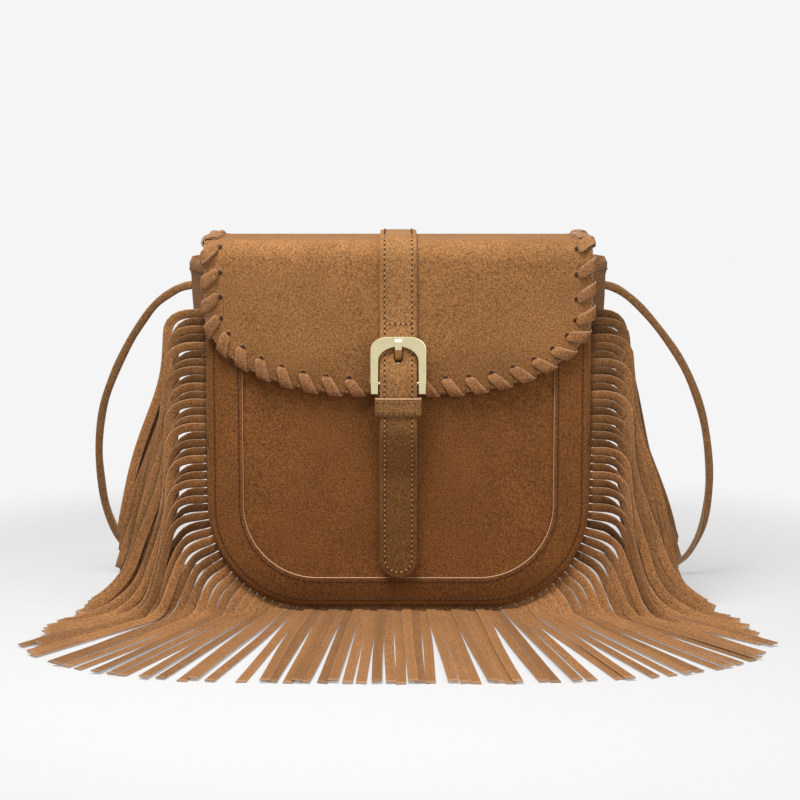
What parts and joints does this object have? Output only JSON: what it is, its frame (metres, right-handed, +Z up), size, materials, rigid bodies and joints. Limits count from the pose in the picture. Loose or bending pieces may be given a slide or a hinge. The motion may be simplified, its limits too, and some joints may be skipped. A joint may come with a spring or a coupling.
{
  "type": "shoulder bag",
  "caption": "Small brown suede shoulder bag with a laced-edge flap, a belt with a pale gold buckle, and long suede fringe fanned out on the floor.",
  "frame": {"origin": "middle of the flat underside of the gusset, on the floor", "axes": "+Z up, front of the bag towards -Y, +X to the right seen from the back of the flap, which is the right of the picture"},
  "size_m": [0.4322, 0.3713, 0.2336],
  "materials": {
    "front_panel": "brown suede, matt, with a short nap",
    "front_border": "brown suede, matt, with a short nap",
    "back_panel": "brown suede, matt, with a short nap",
    "gusset": "brown suede, matt, with a short nap",
    "fringe_left": "brown suede, matt, with a short nap",
    "fringe_bottom": "brown suede, matt, with a short nap",
    "fringe_right": "brown suede, matt, with a short nap",
    "shoulder_strap": "brown suede, matt, with a short nap",
    "flap": "brown suede, matt, with a short nap",
    "flap_lacing": "brown suede, matt, with a short nap",
    "belt": "brown suede, matt, with a short nap",
    "buckle_chape": "brown suede, matt, with a short nap",
    "keeper": "brown suede, matt, with a short nap",
    "lining": "plain woven, brown",
    "buckle_frame": "pale gold plating, polished",
    "buckle_bar": "pale gold plating, polished",
    "buckle_prong": "pale gold plating, polished",
    "snap_socket": "pale gold plating, polished",
    "snap_stud": "pale gold plating, polished"
  },
  "bodies": {
    "bag": {"front_panel": "front_panel", "front_border": "front_border", "back_panel": "back_panel", "gusset": "gusset", "lining": "lining", "fringe_left": "fringe_left", "fringe_bottom": "fringe_bottom", "fringe_right": "fringe_right", "snap_socket": "snap_socket", "shoulder_strap": "shoulder_strap"},
    "flap": {"flap": "flap", "flap_lacing": "flap_lacing", "belt": "belt", "buckle_frame": "buckle_frame", "buckle_bar": "buckle_bar", "buckle_prong": "buckle_prong", "buckle_chape": "buckle_chape", "keeper": "keeper", "snap_stud": "snap_stud"}
  },
  "joints": [
    {"name": "flap_hinge", "type": "hinge", "parent": "bag", "child": "flap", "pos_m": [0, 0.0353, 0.21865], "axis": [-1, 0, 0], "range_deg": [0, 165]}
  ]
}
